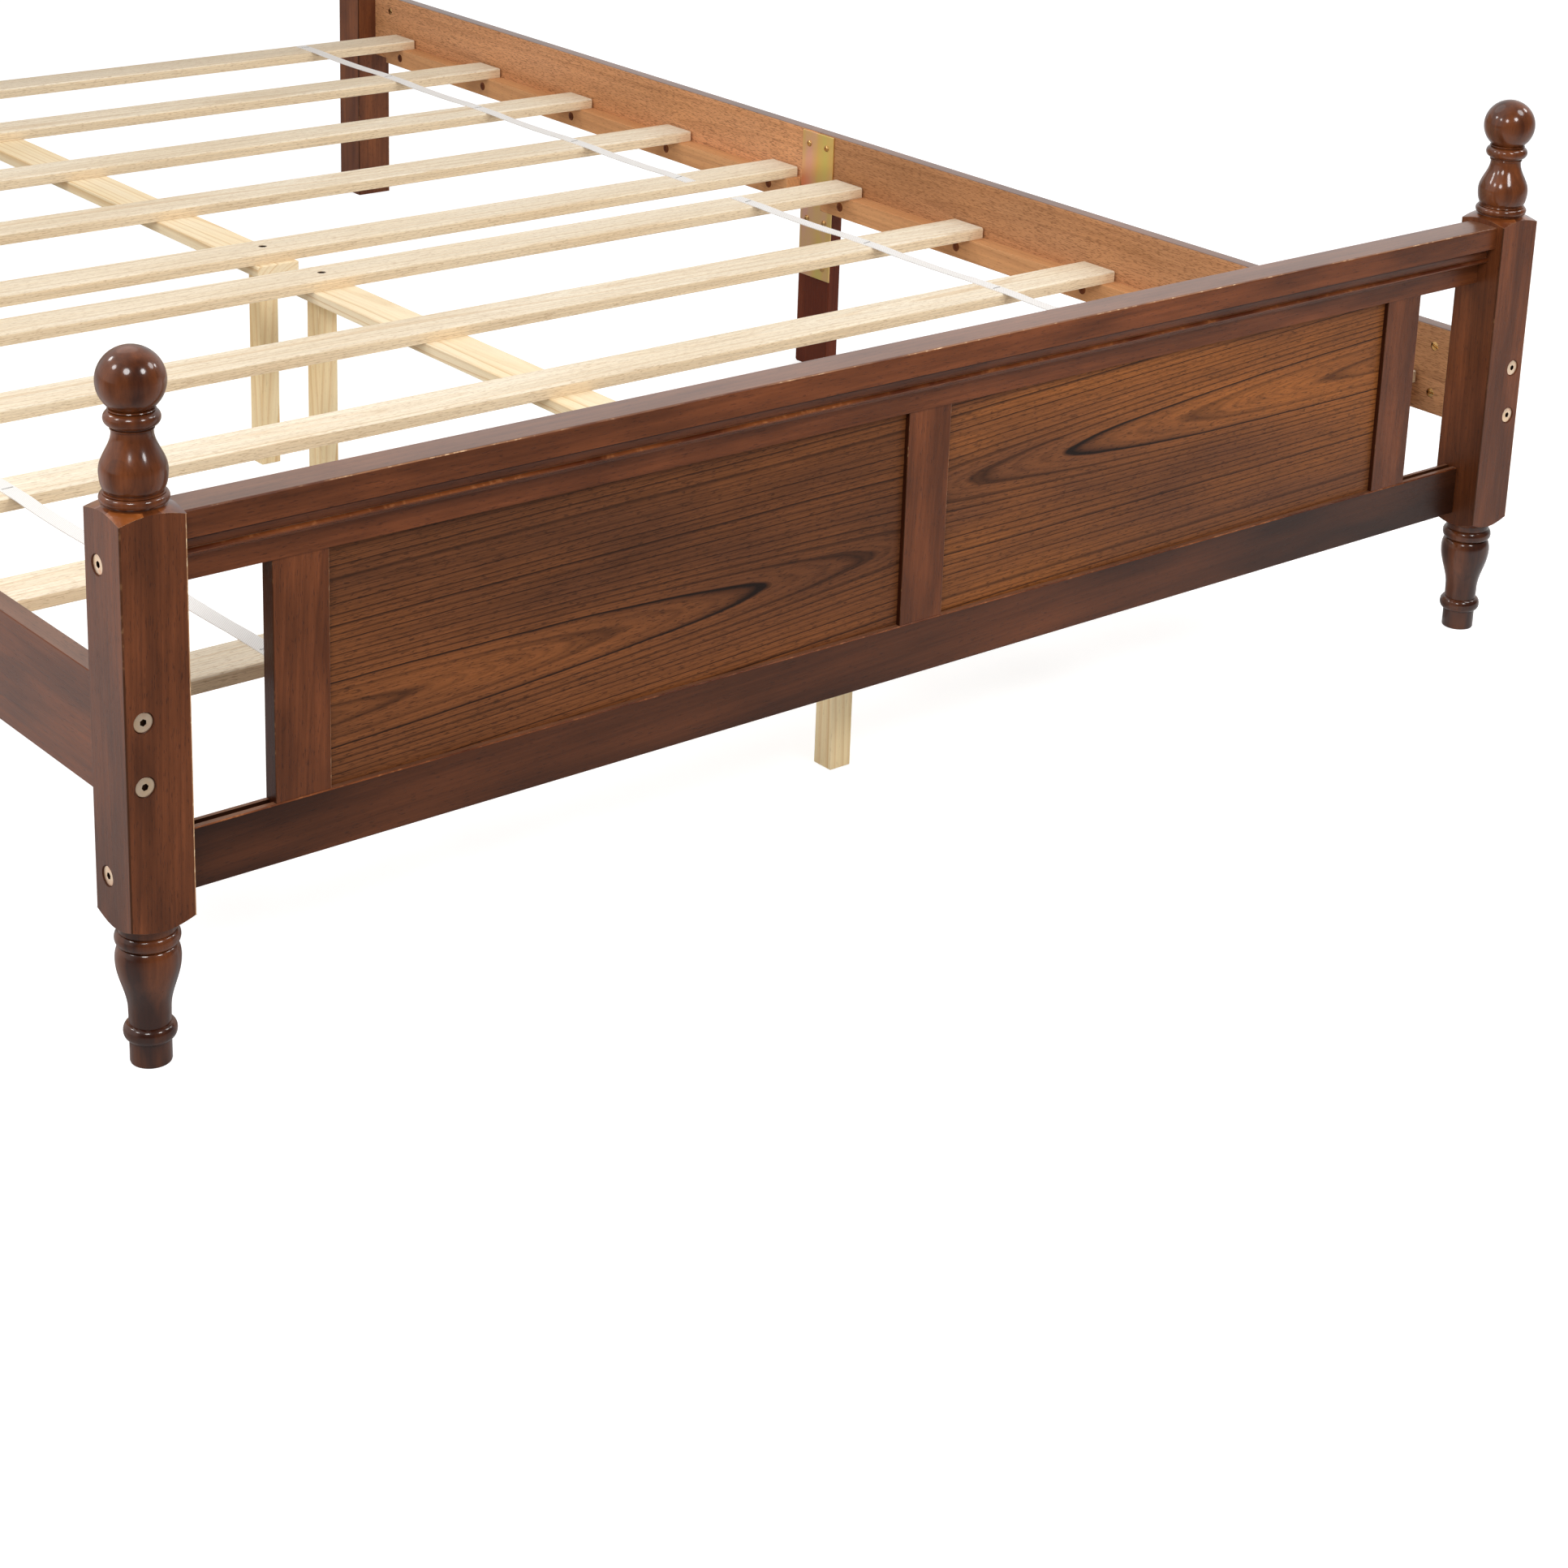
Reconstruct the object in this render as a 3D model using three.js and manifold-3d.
// Queen-size wooden bed with turned foot posts, a panelled footboard and an upholstered headboard
// Millimetres, +Z up, +Y towards the head end, +X to the right when seen from the foot end
// The origin lies on the floor under the middle of the bed, where the side rails' halves meet

import * as THREE from "three";
import { mergeVertices } from "three/addons/utils/BufferGeometryUtils.js";
import Module from "manifold-3d";

const wasm = await Module();
wasm.setup();

// Mattress bay and side rails
const bayWidth = 1540;
const sideRailThickness = 18;
const sideRailHeight = 95;
const sideRailTop = 311;
const sideRailHalfLength = 1050.5;
const boardEdgeRadius = 1.5;

// Square part of the posts
const postSize = 54;
const postOverhang = 6;
const postAboveRail = 0.7;
const topShoulderSlope = 0.4;
const footShoulderSlope = 0.55;
const turnedSegments = 24;
const turnedMargin = 1;

// Turned foot, from the floor up
const footEndHeight = 20;
const footEndRadius = 16;
const footEndEdge = 1.5;
const footRingHeight = 13;
const footRingRadius = 20.4;
const ankleHeight = 11;
const ankleRadius = 16.2;
const footVaseRise = 43.5;
const footVaseRadius = 24.8;
const footVaseFall = 11.5;
const footWaistRadius = 20.5;
const footBeadHeight = 12;
const footBeadRadius = 24.8;
const footFilletHeight = 5.1;
const footFilletRadius = 22;

// Finial, from the shoulder up
const finialFilletHeight = 1.6;
const finialFilletRadius = 23.5;
const baseBeadHeight = 8.5;
const baseBeadRadius = 25.4;
const pinchHeight = 1;
const pinchRadius = 22;
const finialVaseRise = 14;
const finialVaseRadius = 24.8;
const finialVaseFall = 29.5;
const neckRadius = 15.1;
const neckHeight = 4.5;
const collarHeight = 13;
const collarRadius = 20.6;
const ballSeatRadius = 15.5;
const ballRadius = 25.4;

// Moulded top rails, from the top edge down; depths count from the boards' front face
const capHeight = 22;
const capDepth = 19;
const capEdgeRadius = 2;
const capSoffit = 3;
const coveHeight = 11;
const coveDepth = 7;
const beadHeight = 6;
const beadDepth = 4;
const beadSeatDepth = 8;
const lowerCoveHeight = 6;
const fasciaHeight = 17;
const boardThickness = 16;

// Grooves of the boards, and the panels and tongues that sit in them
const grooveWidth = 6;
const grooveDepth = 8;
const grooveSetback = 5.5;
const fitClearance = 0.3;

// Footboard
const footRailTop = 442;
const footLowerRailBottom = 131;
const footLowerRailHeight = 50;
const stileWidth = 49;
const footWindowWidth = 84.75;
const stileSetback = 1;

// Headboard
const headRailTop = 1074.3;
const headLowerRailBottom = 400;
const headLowerRailHeight = 90;
const padMargin = 3;
const padEdgeDepth = 12;
const padRollDepth = 18;
const padRollRadius = 26;
const padCrown = 6;
const padRollSteps = 4;
const padSpanSteps = 7;

// Cleats and slats
const cleatWidth = 23;
const cleatHeight = 27;
const cleatRise = 2.5;
const cleatGapHalf = 33.5;
const cleatPostGap = 66;
const cleatScrewInset = 38;
const cleatScrewCount = 5;
const cleatScrewRadius = 3.5;
const cleatScrewDepth = 12;
const slatWidth = 53;
const slatThickness = 13;
const slatEdgeRadius = 3;
const slatEndGap = 3;
const slatPostGap = 60;
const slatsPerHalf = 5;
const middleGapHalf = 37.5;
const slatScrewHeadRadius = 5;
const slatScrewHeadDepth = 4;
const slatScrewRadius = 2.2;

// Tapes on the slats
const tapeInset = 167;
const tapeWidth = 19;
const tapeThickness = 1;
const tapeEndInset = 8;

// Centre beams and legs
const beamOverhang = 8;
const centreLegSize = 24;

// Middle legs and the plates that hold them
const middleLegWidth = 61;
const middleLegShift = 1.5;
const middleLegChamfer = 3;
const plateWidth = 61;
const plateLength = 190;
const plateThickness = 2;
const plateTopGap = 1.5;
const plateHoleSpacing = 34;
const plateHoleDrops = [16, 114.7, 174.5];
const plateHoleRadius = 2.3;

// Connector bolts, and the cross holes of their barrel nuts
const boltHeadRadius = 8;
const boltHeadThickness = 3;
const boltSocketWidth = 5;
const boltSocketDepth = 2.2;
const boltShankRadius = 3;
const boltSink = 1;
const boltClearance = 0.5;
const drillSegments = 12;
const nutDistance = 41.5;
const nutRadius = 5;
const nutHoleDepth = 13;
const boltPastNut = 9;
const sideBoltDrops = [21.5, 72.5];
const footTopBoltDrop = 38;
const footLowerBoltRise = 26.6;

// Places worked out from the sizes above
const postHalf = postSize / 2;
const cornerRadius = postHalf * Math.SQRT2;
const turnedRadius = cornerRadius + turnedMargin;
const railInnerX = bayWidth / 2;
const railOuterX = railInnerX + sideRailThickness;
const railMiddleX = railInnerX + sideRailThickness / 2;
const railBottom = sideRailTop - sideRailHeight;
const cleatTop = railBottom + cleatRise + cleatHeight;
const postX = railOuterX + postOverhang - postHalf;
const postY = sideRailHalfLength + postHalf;
const postInnerX = postX - postHalf;
const grooveMiddle = grooveSetback + grooveWidth / 2;
const tongueThickness = grooveWidth - 2 * fitClearance;
const tongueDepth = grooveDepth - fitClearance;
const mouldingHeight = capHeight + coveHeight + beadHeight + lowerCoveHeight + fasciaHeight;
const footRailBottom = footRailTop - mouldingHeight;
const footLowerRailTop = footLowerRailBottom + footLowerRailHeight;
const headRailBottom = headRailTop - mouldingHeight;
const headLowerRailTop = headLowerRailBottom + headLowerRailHeight;
const slatTop = cleatTop + slatThickness;
const beamBottom = cleatTop - slatThickness;
const slatHalfLength = railInnerX - slatEndGap;
const firstSlatY = middleGapHalf + slatWidth / 2;
const lastSlatY = sideRailHalfLength - slatPostGap - slatWidth / 2;
const slatPitch = (lastSlatY - firstSlatY) / (slatsPerHalf - 1);
const cleatLength = sideRailHalfLength - cleatPostGap - cleatGapHalf;
const outerStileX = postInnerX - footWindowWidth - stileWidth / 2;
const tapeX = slatHalfLength - tapeInset;
const boltSeatDepth = boltSink + boltHeadThickness;
const boltLength = postSize - boltSeatDepth + nutDistance + boltPastNut;

// Colours of the materials
const palette = {
  walnut: 0x4a2a20,
  pine: 0xe6d2ac,
  yellowPine: 0xd9b47c,
  redwood: 0x8a5540,
  zinc: 0xcfc39a,
  tape: 0xe9e6df,
  linen: 0xcfc5b4,
  bronze: 0x3a2c24,
};

const bed = new THREE.Group();
bed.name = "bed_with_upholstered_headboard";

function addPiece(name, geometry, colour, roughness = 0.6) {
  const material = new THREE.MeshStandardMaterial({ color: colour, roughness });
  const mesh = new THREE.Mesh(geometry, material);
  mesh.name = name;
  bed.add(mesh);
}

// Closed geometry to solid and back
function toSolid(geometry) {
  const bare = new THREE.BufferGeometry();
  bare.setAttribute("position", geometry.getAttribute("position"));
  bare.setIndex(geometry.getIndex());
  const merged = mergeVertices(bare, 1e-4);
  const index = merged.getIndex().array;
  const triangles = [];
  for (let i = 0; i < index.length; i += 3) {
    const [a, b, c] = [index[i], index[i + 1], index[i + 2]];
    if (a !== b && b !== c && c !== a) triangles.push(a, b, c);
  }
  const mesh = new wasm.Mesh({
    numProp: 3,
    vertProperties: new Float32Array(merged.getAttribute("position").array),
    triVerts: new Uint32Array(triangles),
  });
  return new wasm.Manifold(mesh);
}

function toGeometry(solid) {
  const mesh = solid.getMesh();
  const geometry = new THREE.BufferGeometry();
  geometry.setAttribute("position", new THREE.BufferAttribute(mesh.vertProperties, 3));
  geometry.setIndex(new THREE.BufferAttribute(mesh.triVerts, 1));
  geometry.computeVertexNormals();
  return geometry;
}

function cut(geometry, tools) {
  const solid = tools.reduce((rest, tool) => rest.subtract(toSolid(tool)), toSolid(geometry));
  return toGeometry(solid);
}

// Basic forms
function box(xRange, yRange, zRange) {
  const low = new THREE.Vector3(xRange[0], yRange[0], zRange[0]);
  const high = new THREE.Vector3(xRange[1], yRange[1], zRange[1]);
  const size = high.clone().sub(low);
  const middle = low.clone().add(high).multiplyScalar(0.5);
  return new THREE.BoxGeometry(size.x, size.y, size.z).translate(middle.x, middle.y, middle.z);
}

function around(middle, width) {
  return [middle - width / 2, middle + width / 2];
}

function mirrored(range, side) {
  return side > 0 ? range : [-range[1], -range[0]];
}

function ellipseArc(u, v, radiusU, radiusV, fromDegrees, toDegrees, steps) {
  return Array.from({ length: steps + 1 }, (_, i) => {
    const angle = THREE.MathUtils.degToRad(fromDegrees + ((toDegrees - fromDegrees) * i) / steps);
    return new THREE.Vector2(u + radiusU * Math.cos(angle), v + radiusV * Math.sin(angle));
  });
}

function point(u, v) {
  return new THREE.Vector2(u, v);
}

function roundedRectangle(uRange, vRange, radius, steps = 2) {
  const [u0, u1] = uRange;
  const [v0, v1] = vRange;
  return [
    ...ellipseArc(u1 - radius, v0 + radius, radius, radius, -90, 0, steps),
    ...ellipseArc(u1 - radius, v1 - radius, radius, radius, 0, 90, steps),
    ...ellipseArc(u0 + radius, v1 - radius, radius, radius, 90, 180, steps),
    ...ellipseArc(u0 + radius, v0 + radius, radius, radius, 180, 270, steps),
  ];
}

// Outline in Y and Z, run along X
function alongX(outline, xRange) {
  const settings = { depth: xRange[1] - xRange[0], bevelEnabled: false };
  const geometry = new THREE.ExtrudeGeometry(new THREE.Shape(outline), settings);
  const turn = new THREE.Matrix4().makeBasis(
    new THREE.Vector3(0, 1, 0),
    new THREE.Vector3(0, 0, 1),
    new THREE.Vector3(1, 0, 0),
  );
  return geometry.applyMatrix4(turn).translate(xRange[0], 0, 0);
}

// Outline in X and Z, run along Y
function alongY(outline, yRange) {
  const settings = { depth: yRange[1] - yRange[0], bevelEnabled: false };
  const geometry = new THREE.ExtrudeGeometry(new THREE.Shape(outline), settings);
  return geometry.rotateX(Math.PI / 2).translate(0, yRange[1], 0);
}

// Radius and height pairs, turned about the Z axis
function turned(profile, segments) {
  return new THREE.LatheGeometry(profile, segments).rotateX(Math.PI / 2);
}

// Drill from a start point in a unit direction
function drill(start, direction, radius, depth) {
  const geometry = new THREE.CylinderGeometry(radius, radius, depth, drillSegments).translate(0, depth / 2, 0);
  const turn = new THREE.Quaternion().setFromUnitVectors(new THREE.Vector3(0, 1, 0), direction);
  return geometry.applyQuaternion(turn).translate(start.x, start.y, start.z);
}

// Turned profiles
function bead(bottom, height, seatRadius, radius, steps = 5) {
  return ellipseArc(seatRadius, bottom + height / 2, radius - seatRadius, height / 2, -90, 90, steps);
}

function wave(fromRadius, fromHeight, toRadius, toHeight, steps = 6) {
  return Array.from({ length: steps + 1 }, (_, i) => {
    const share = i / steps;
    const swing = (1 - Math.cos(Math.PI * share)) / 2;
    const radius = THREE.MathUtils.lerp(fromRadius, toRadius, swing);
    return point(radius, THREE.MathUtils.lerp(fromHeight, toHeight, share));
  });
}

function turnedFootProfile() {
  const ringBottom = footEndHeight;
  const ankleBottom = ringBottom + footRingHeight;
  const vaseBottom = ankleBottom + ankleHeight;
  const bellyHeight = vaseBottom + footVaseRise;
  const beadBottom = bellyHeight + footVaseFall;
  const filletBottom = beadBottom + footBeadHeight;
  const coneBottom = filletBottom + footFilletHeight;
  const blockBottom = coneBottom + (cornerRadius - footFilletRadius) * footShoulderSlope;
  return [
    point(0, 0),
    point(footEndRadius - footEndEdge, 0),
    point(footEndRadius, footEndEdge),
    ...bead(ringBottom, footRingHeight, footEndRadius, footRingRadius),
    ...wave(ankleRadius, vaseBottom, footVaseRadius, bellyHeight),
    ...ellipseArc(footWaistRadius, bellyHeight, footVaseRadius - footWaistRadius, footVaseFall, 15, 90, 4),
    ...bead(beadBottom, footBeadHeight, footWaistRadius, footBeadRadius).slice(1),
    point(footFilletRadius, filletBottom),
    point(footFilletRadius, coneBottom),
    point(turnedRadius, blockBottom + turnedMargin * footShoulderSlope),
  ];
}

function finialProfile(blockTop) {
  const coneTop = blockTop + (cornerRadius - finialFilletRadius) * topShoulderSlope;
  const beadBottom = coneTop + finialFilletHeight;
  const pinchBottom = beadBottom + baseBeadHeight;
  const vaseBottom = pinchBottom + pinchHeight;
  const bellyHeight = vaseBottom + finialVaseRise;
  const neckBottom = bellyHeight + finialVaseFall;
  const collarBottom = neckBottom + neckHeight;
  const collarTop = collarBottom + collarHeight;
  const ballAngle = Math.acos(ballSeatRadius / ballRadius);
  const ballHeight = collarTop + ballRadius * Math.sin(ballAngle);
  const ballStart = -THREE.MathUtils.radToDeg(ballAngle);
  return [
    point(turnedRadius, blockTop - turnedMargin * topShoulderSlope),
    point(finialFilletRadius, coneTop),
    ...bead(beadBottom, baseBeadHeight, finialFilletRadius, baseBeadRadius),
    point(pinchRadius, pinchBottom),
    ...ellipseArc(pinchRadius, bellyHeight, finialVaseRadius - pinchRadius, finialVaseRise, -90, 0, 4),
    ...wave(finialVaseRadius, bellyHeight, neckRadius, neckBottom).slice(1),
    ...bead(collarBottom, collarHeight, neckRadius, collarRadius),
    ...ellipseArc(0, ballHeight, ballRadius, ballRadius, ballStart, 90, 10).slice(0, -1),
    point(0, ballHeight + ballRadius),
  ];
}

// Hole for one connector bolt, with the seat of its head
function boltHole(start, direction, depth) {
  const shankHole = drill(start, direction, boltShankRadius + boltClearance, depth);
  const headHole = drill(start, direction, boltHeadRadius + boltClearance, boltSeatDepth);
  return [shankHole, headHole];
}

function squarePost(profile, side, end, bolts) {
  const x = side * postX;
  const y = end * postY;
  const round = toSolid(turned(profile, turnedSegments).translate(x, y, 0));
  const square = toSolid(box(around(x, postSize), around(y, postSize), [0, profile.at(-1).y]));
  const holes = bolts.flatMap((bolt) => boltHole(bolt.start, bolt.direction, postSize));
  return cut(toGeometry(round.intersect(square)), holes);
}

// Connector bolts: two per post into the side rail, and two per foot post into the footboard
function sideBolts(side, end) {
  return sideBoltDrops.map((drop) => ({
    start: new THREE.Vector3(side * railMiddleX, end * (postY + postHalf), sideRailTop - drop),
    direction: new THREE.Vector3(0, -end, 0),
  }));
}

function footboardBolts(side) {
  const heights = [footRailTop - footTopBoltDrop, footLowerRailBottom + footLowerBoltRise];
  return heights.map((height) => ({
    start: new THREE.Vector3(side * (postX + postHalf), boardThickness / 2 - postY, height),
    direction: new THREE.Vector3(-side, 0, 0),
  }));
}

function boltGeometry(bolt) {
  const profile = [
    point(0, boltSink),
    point(boltHeadRadius, boltSink),
    point(boltHeadRadius, boltSeatDepth),
    point(boltShankRadius, boltSeatDepth),
    point(boltShankRadius, boltSeatDepth + boltLength),
    point(0, boltSeatDepth + boltLength),
  ];
  const socketRadius = boltSocketWidth / 2;
  const socket = new THREE.CylinderGeometry(socketRadius, socketRadius, boltSocketDepth * 2, 6);
  socket.translate(0, boltSink, 0);
  const body = cut(new THREE.LatheGeometry(profile, drillSegments), [socket]);
  const turn = new THREE.Quaternion().setFromUnitVectors(new THREE.Vector3(0, 1, 0), bolt.direction);
  return body.applyQuaternion(turn).translate(bolt.start.x, bolt.start.y, bolt.start.z);
}

// Bore in a rail's end and the cross hole of its barrel nut
function nutBores(bolt, nutFace) {
  const railStart = bolt.start.clone().addScaledVector(bolt.direction, postSize);
  const boreDepth = nutDistance + boltPastNut + boltClearance;
  const bore = drill(railStart, bolt.direction, boltShankRadius + boltClearance, boreDepth);
  const nutStart = railStart.clone().addScaledVector(bolt.direction, nutDistance).add(nutFace);
  return [bore, drill(nutStart, nutFace.clone().normalize().negate(), nutRadius, nutHoleDepth)];
}

// Posts
function addPosts() {
  const footBlockTop = footRailTop + postAboveRail;
  const headBlockTop = headRailTop + postAboveRail;
  const footProfile = [...turnedFootProfile(), ...finialProfile(footBlockTop)];
  const headProfile = [point(0, 0), point(turnedRadius, 0), ...finialProfile(headBlockTop)];
  for (const [word, side] of [["left", -1], ["right", 1]]) {
    const ends = [
      ["foot", -1, footProfile, [...footboardBolts(side), ...sideBolts(side, -1)]],
      ["head", 1, headProfile, sideBolts(side, 1)],
    ];
    for (const [endWord, end, profile, bolts] of ends) {
      addPiece(`${endWord}_post_${word}`, squarePost(profile, side, end, bolts), palette.walnut);
      bolts.forEach((bolt, i) => {
        addPiece(`${endWord}_bolt_${word}_${i + 1}`, boltGeometry(bolt), palette.bronze, 0.35);
      });
    }
  }
}

// Moulded top rail, as an outline whose front face of the board lies at Y = front
function mouldedOutline(front, top) {
  const capBottom = top - capHeight;
  const coveBottom = capBottom - coveHeight;
  const beadBottom = coveBottom - beadHeight;
  const fasciaTop = beadBottom - lowerCoveHeight;
  const bottom = fasciaTop - fasciaHeight;
  const back = front + boardThickness;
  const capFront = front - capDepth;
  const coveTop = capFront + capSoffit;
  const seat = front - beadSeatDepth;
  const grooveFront = front + grooveSetback;
  return [
    point(front, bottom),
    point(grooveFront, bottom),
    point(grooveFront, bottom + grooveDepth),
    point(grooveFront + grooveWidth, bottom + grooveDepth),
    point(grooveFront + grooveWidth, bottom),
    point(back, bottom),
    ...ellipseArc(back - capEdgeRadius, top - capEdgeRadius, capEdgeRadius, capEdgeRadius, 0, 90, 3),
    ...ellipseArc(capFront + capEdgeRadius, top - capEdgeRadius, capEdgeRadius, capEdgeRadius, 90, 180, 3),
    point(capFront, capBottom),
    ...ellipseArc(coveTop, coveBottom, coveDepth, coveHeight, 90, 0, 5),
    ...ellipseArc(seat, coveBottom - beadHeight / 2, beadDepth, beadHeight / 2, 90, 270, 6),
    ...ellipseArc(seat, fasciaTop, beadSeatDepth, lowerCoveHeight, 90, 0, 4).slice(1),
  ];
}

// Plain rail with a groove along its top edge
function groovedOutline(front, bottom, top) {
  const back = front + boardThickness;
  const grooveFront = front + grooveSetback;
  return [
    point(front, bottom),
    point(back, bottom),
    point(back, top),
    point(grooveFront + grooveWidth, top),
    point(grooveFront + grooveWidth, top - grooveDepth),
    point(grooveFront, top - grooveDepth),
    point(grooveFront, top),
    point(front, top),
  ];
}

function railNutBores(side, nth) {
  return nutBores(footboardBolts(side)[nth], new THREE.Vector3(0, boardThickness / 2, 0));
}

// Upright between the footboard's rails, with a tongue at each end
function stile(x, front, panelSides) {
  const tongue = around(front + grooveMiddle, tongueThickness);
  const low = footLowerRailTop;
  const high = footRailBottom;
  const back = front + boardThickness;
  const outline = [
    point(front + stileSetback, low),
    point(tongue[0], low),
    point(tongue[0], low - tongueDepth),
    point(tongue[1], low - tongueDepth),
    point(tongue[1], low),
    point(back, low),
    point(back, high),
    point(tongue[1], high),
    point(tongue[1], high + tongueDepth),
    point(tongue[0], high + tongueDepth),
    point(tongue[0], high),
    point(front + stileSetback, high),
  ];
  const grooves = panelSides.map((side) => {
    const edge = x + (side * stileWidth) / 2;
    const groove = around(front + grooveMiddle, grooveWidth);
    return box(around(edge, 2 * grooveDepth), groove, [low - grooveDepth, high + grooveDepth]);
  });
  return cut(alongX(outline, around(x, stileWidth)), grooves);
}

function addFootboard() {
  const front = -postY;
  const span = [-postInnerX, postInnerX];
  const topBores = [-1, 1].flatMap((side) => railNutBores(side, 0));
  const lowerBores = [-1, 1].flatMap((side) => railNutBores(side, 1));
  const lowerOutline = groovedOutline(front, footLowerRailBottom, footLowerRailTop);
  const topRail = alongX(mouldedOutline(front, footRailTop), span);
  addPiece("footboard_top_rail", cut(topRail, topBores), palette.walnut);
  addPiece("footboard_bottom_rail", cut(alongX(lowerOutline, span), lowerBores), palette.walnut);
  addPiece("footboard_stile_left", stile(-outerStileX, front, [1]), palette.walnut);
  addPiece("footboard_stile_centre", stile(0, front, [-1, 1]), palette.walnut);
  addPiece("footboard_stile_right", stile(outerStileX, front, [-1]), palette.walnut);

  const panelX = [stileWidth / 2 - tongueDepth, outerStileX - stileWidth / 2 + tongueDepth];
  const panelY = around(front + grooveMiddle, tongueThickness);
  const panelZ = [footLowerRailTop - tongueDepth, footRailBottom + tongueDepth];
  addPiece("footboard_panel_left", box(mirrored(panelX, -1), panelY, panelZ), palette.walnut);
  addPiece("footboard_panel_right", box(panelX, panelY, panelZ), palette.walnut);
}

// Padded cover: flat back, low side walls, rolled edges and a crowned front
function padGeometry(xRange, zRange, back) {
  const stations = (range) => {
    const roll = Array.from({ length: padRollSteps + 1 }, (_, i) => {
      return padRollRadius * (1 - Math.cos((i * Math.PI) / (2 * padRollSteps)));
    });
    const innerSpan = range[1] - range[0] - 2 * padRollRadius;
    const inner = Array.from({ length: padSpanSteps - 1 }, (_, i) => {
      return padRollRadius + (innerSpan * (i + 1)) / padSpanSteps;
    });
    const far = roll.map((distance) => range[1] - range[0] - distance).reverse();
    return [...roll, ...inner, ...far].map((distance) => range[0] + distance);
  };
  const lift = (value, range) => {
    const edge = Math.min(value - range[0], range[1] - value, padRollRadius);
    return Math.sqrt(1 - (1 - edge / padRollRadius) ** 2);
  };
  const crown = (value, range) => 1 - ((2 * value - range[0] - range[1]) / (range[1] - range[0])) ** 2;
  const xs = stations(xRange);
  const zs = stations(zRange);
  const positions = [];
  for (const layer of [0, 1]) {
    for (const z of zs) {
      for (const x of xs) {
        const roll = padRollDepth * lift(x, xRange) * lift(z, zRange);
        const bulge = padCrown * crown(x, xRange) * crown(z, zRange);
        positions.push(x, back - layer * (padEdgeDepth + roll + bulge), z);
      }
    }
  }
  const columns = xs.length;
  const layerSize = columns * zs.length;
  const at = (layer, row, column) => layer * layerSize + row * columns + column;
  const index = [];
  const quad = (a, b, c, d) => index.push(a, b, c, a, c, d);
  for (let row = 0; row + 1 < zs.length; row++) {
    for (let column = 0; column + 1 < columns; column++) {
      quad(at(1, row, column), at(1, row, column + 1), at(1, row + 1, column + 1), at(1, row + 1, column));
      quad(at(0, row, column), at(0, row + 1, column), at(0, row + 1, column + 1), at(0, row, column + 1));
    }
  }
  const lastRow = zs.length - 1;
  const lastColumn = columns - 1;
  for (let column = 0; column < lastColumn; column++) {
    quad(at(0, 0, column), at(0, 0, column + 1), at(1, 0, column + 1), at(1, 0, column));
    const next = column + 1;
    quad(at(0, lastRow, next), at(0, lastRow, column), at(1, lastRow, column), at(1, lastRow, next));
  }
  for (let row = 0; row < lastRow; row++) {
    quad(at(0, row + 1, 0), at(0, row, 0), at(1, row, 0), at(1, row + 1, 0));
    const next = row + 1;
    quad(at(0, row, lastColumn), at(0, next, lastColumn), at(1, next, lastColumn), at(1, row, lastColumn));
  }
  const geometry = new THREE.BufferGeometry();
  geometry.setAttribute("position", new THREE.Float32BufferAttribute(positions, 3));
  geometry.setIndex(index);
  geometry.computeVertexNormals();
  return geometry;
}

function addHeadboard() {
  const front = postY;
  const span = [-postInnerX, postInnerX];
  const lowerOutline = groovedOutline(front, headLowerRailBottom, headLowerRailTop);
  addPiece("headboard_top_rail", alongX(mouldedOutline(front, headRailTop), span), palette.walnut);
  addPiece("headboard_bottom_rail", alongX(lowerOutline, span), palette.walnut);

  const backingX = [-postInnerX + fitClearance, postInnerX - fitClearance];
  const backingY = around(front + grooveMiddle, tongueThickness);
  const backingZ = [headLowerRailTop - tongueDepth, headRailBottom + tongueDepth];
  addPiece("headboard_backing", box(backingX, backingY, backingZ), palette.walnut);

  const padX = [-postInnerX + padMargin, postInnerX - padMargin];
  const padZ = [headLowerRailTop + padMargin, headRailBottom - padMargin];
  addPiece("headboard_pad", padGeometry(padX, padZ, backingY[0] - fitClearance), palette.linen, 0.9);
}

// Side rail half, with the bores of its bolts and nuts
function sideRailHalf(side, end) {
  const rail = alongY(
    roundedRectangle(mirrored([railInnerX, railOuterX], side), [railBottom, sideRailTop], boardEdgeRadius),
    mirrored([0, sideRailHalfLength], end),
  );
  const nutFace = new THREE.Vector3((-side * sideRailThickness) / 2, 0, 0);
  return cut(rail, sideBolts(side, end).flatMap((bolt) => nutBores(bolt, nutFace)));
}

// Cleat with its row of screw holes
function cleat(side, end) {
  const body = box(
    mirrored([railInnerX - cleatWidth, railInnerX], side),
    mirrored([cleatGapHalf, cleatGapHalf + cleatLength], end),
    [cleatTop - cleatHeight, cleatTop],
  );
  const spacing = (cleatLength - 2 * cleatScrewInset) / (cleatScrewCount - 1);
  const direction = new THREE.Vector3(side, 0, 0);
  const holes = Array.from({ length: cleatScrewCount }, (_, i) => {
    const y = end * (cleatGapHalf + cleatScrewInset + i * spacing);
    const start = new THREE.Vector3(side * (railInnerX - cleatWidth), y, cleatTop - cleatHeight / 2);
    return drill(start, direction, cleatScrewRadius, cleatScrewDepth);
  });
  return cut(body, holes);
}

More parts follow.
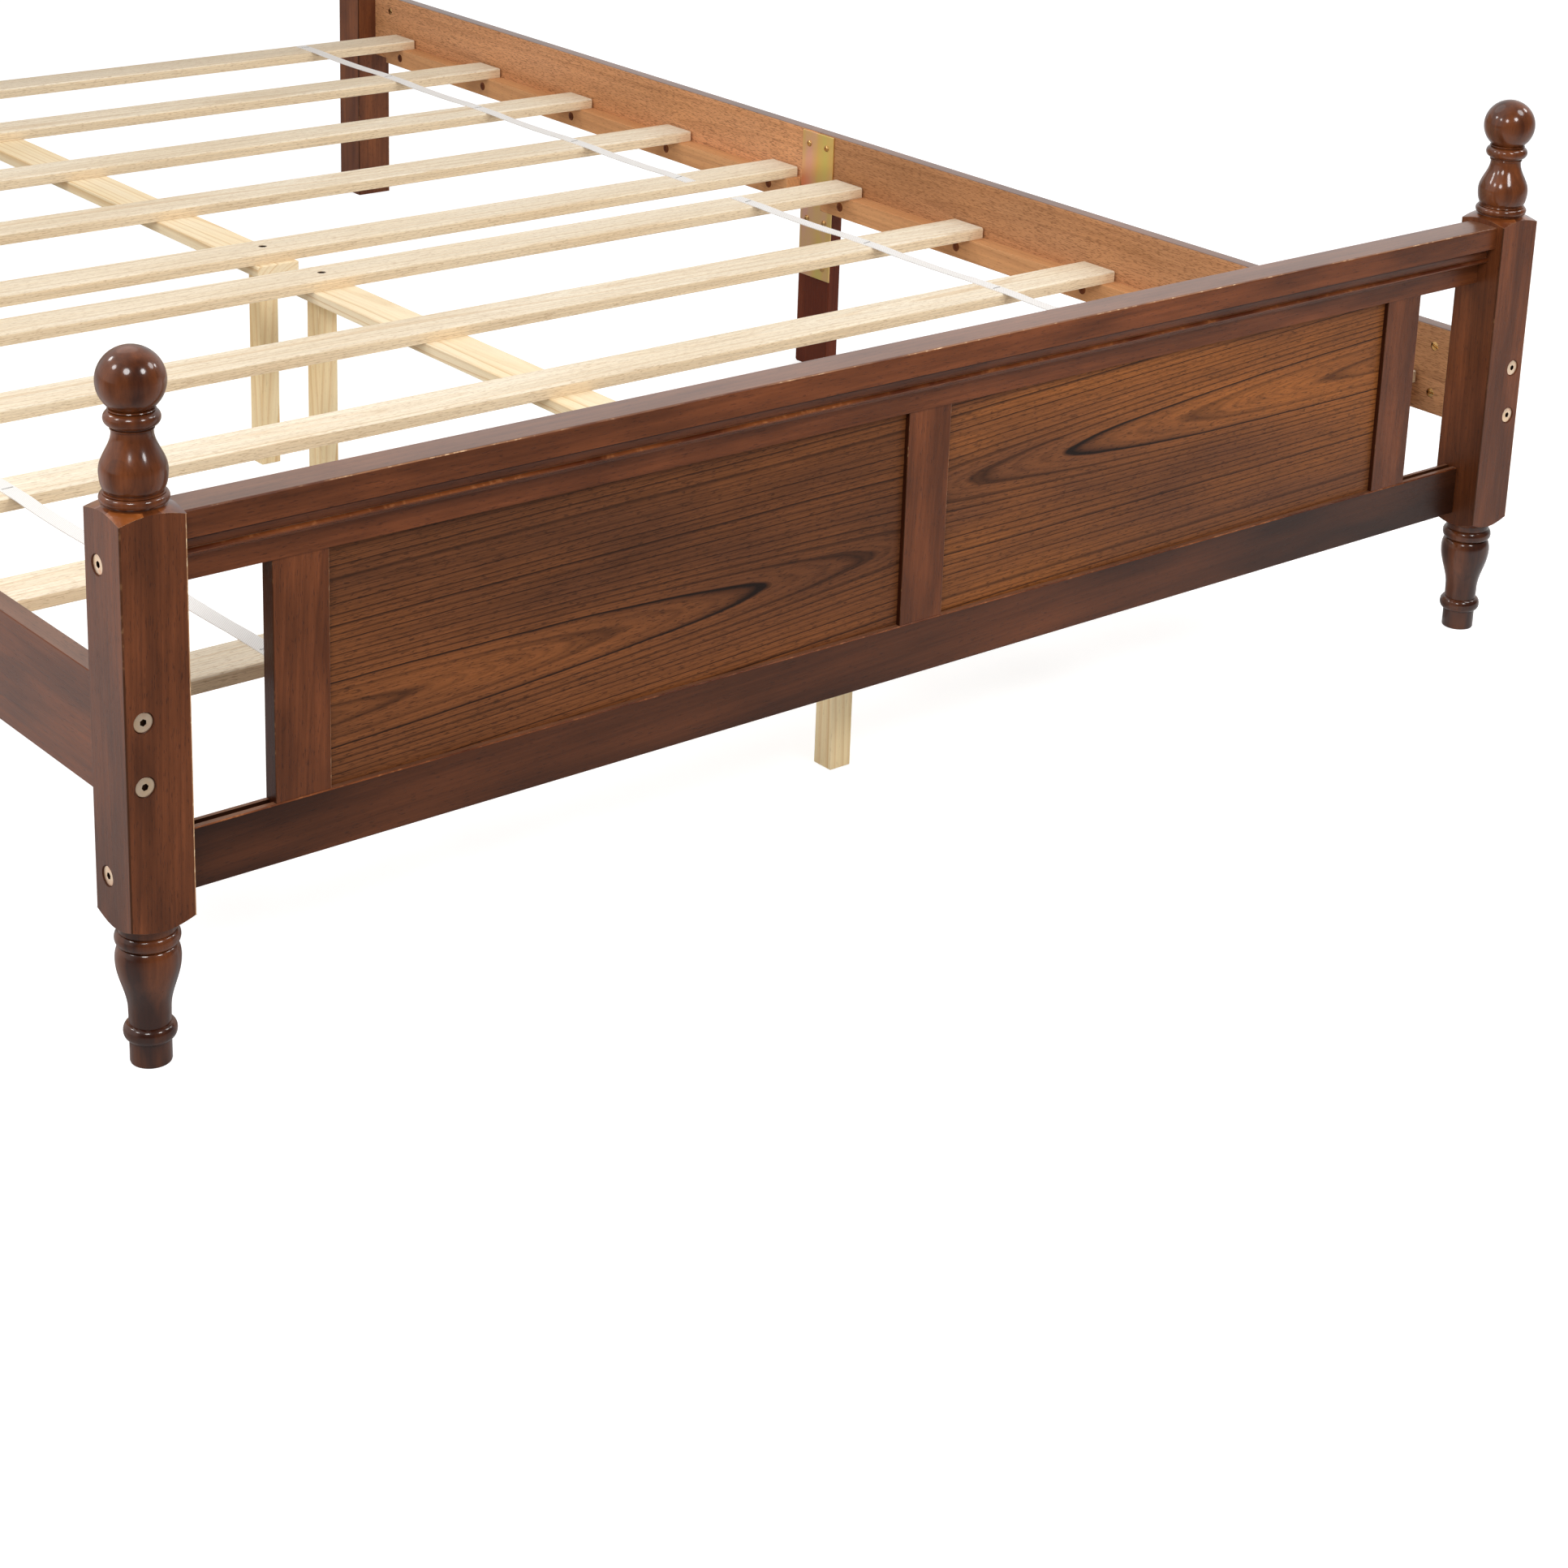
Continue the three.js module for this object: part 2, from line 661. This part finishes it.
function middlePlate(side) {
  const top = sideRailTop - plateTopGap;
  const body = box(
    mirrored([railInnerX - plateThickness, railInnerX], side),
    around(0, plateWidth),
    [top - plateLength, top],
  );
  const direction = new THREE.Vector3(side, 0, 0);
  const holes = plateHoleDrops.flatMap((drop) => [-1, 1].map((hand) => {
    const y = (hand * plateHoleSpacing) / 2;
    const start = new THREE.Vector3(side * (railInnerX - 2 * plateThickness), y, top - drop);
    return drill(start, direction, plateHoleRadius, 4 * plateThickness);
  }));
  return cut(body, holes);
}

function middleLeg(side) {
  const [y0, y1] = around(middleLegShift, middleLegWidth);
  const outline = [
    point(y0 + middleLegChamfer, 0),
    point(y1 - middleLegChamfer, 0),
    point(y1, middleLegChamfer),
    point(y1, railBottom),
    point(y0, railBottom),
    point(y0, middleLegChamfer),
  ];
  return alongX(outline, mirrored([railInnerX, railOuterX], side));
}

function addSides() {
  for (const [word, side] of [["left", -1], ["right", 1]]) {
    for (const [endWord, end] of [["foot", -1], ["head", 1]]) {
      addPiece(`side_rail_${word}_${endWord}`, sideRailHalf(side, end), palette.walnut);
      addPiece(`cleat_${word}_${endWord}`, cleat(side, end), palette.redwood);
    }
    addPiece(`middle_plate_${word}`, middlePlate(side), palette.zinc, 0.35);
    addPiece(`middle_leg_${word}`, middleLeg(side), palette.walnut);
  }
}

// Slat with rounded upper edges, and a stepped screw hole where a leg stands under it
function slat(y, screwed) {
  const [y0, y1] = around(y, slatWidth);
  const arcHeight = slatTop - slatEdgeRadius;
  const outline = [
    point(y0, cleatTop),
    point(y1, cleatTop),
    ...ellipseArc(y1 - slatEdgeRadius, arcHeight, slatEdgeRadius, slatEdgeRadius, 0, 90, 3),
    ...ellipseArc(y0 + slatEdgeRadius, arcHeight, slatEdgeRadius, slatEdgeRadius, 90, 180, 3),
  ];
  const board = alongX(outline, [-slatHalfLength, slatHalfLength]);
  if (!screwed) return board;
  const start = new THREE.Vector3(0, y, slatTop);
  const down = new THREE.Vector3(0, 0, -1);
  const headHole = drill(start, down, slatScrewHeadRadius, slatScrewHeadDepth);
  const shankHole = drill(start, down, slatScrewRadius, 2 * slatThickness);
  return cut(board, [headHole, shankHole]);
}

function addSlats() {
  for (const [endWord, end] of [["foot", -1], ["head", 1]]) {
    for (let i = 0; i < slatsPerHalf; i++) {
      const y = end * (firstSlatY + i * slatPitch);
      const screwed = i === 0 || i === slatsPerHalf - 1;
      addPiece(`slat_${endWord}_${i + 1}`, slat(y, screwed), palette.pine);
    }
    const innerEdge = middleGapHalf;
    const outerEdge = lastSlatY + slatWidth / 2;
    const beamY = mirrored([innerEdge - beamOverhang, outerEdge], end);
    const beam = box(around(0, slatWidth), beamY, [beamBottom, cleatTop]);
    addPiece(`centre_beam_${endWord}`, beam, palette.yellowPine);

    for (const [place, y] of [["inner", firstSlatY], ["outer", lastSlatY]]) {
      const leg = box(around(0, centreLegSize), around(end * y, centreLegSize), [0, beamBottom]);
      addPiece(`centre_leg_${endWord}_${place}`, leg, palette.pine);
    }

    const tapeY = mirrored([innerEdge + tapeEndInset, outerEdge - tapeEndInset], end);
    for (const [word, side] of [["left", -1], ["right", 1]]) {
      const strip = box(around(side * tapeX, tapeWidth), tapeY, [slatTop, slatTop + tapeThickness]);
      addPiece(`tape_${word}_${endWord}`, strip, palette.tape, 0.9);
    }
  }
}

addPosts();
addFootboard();
addHeadboard();
addSides();
addSlats();

export default bed;
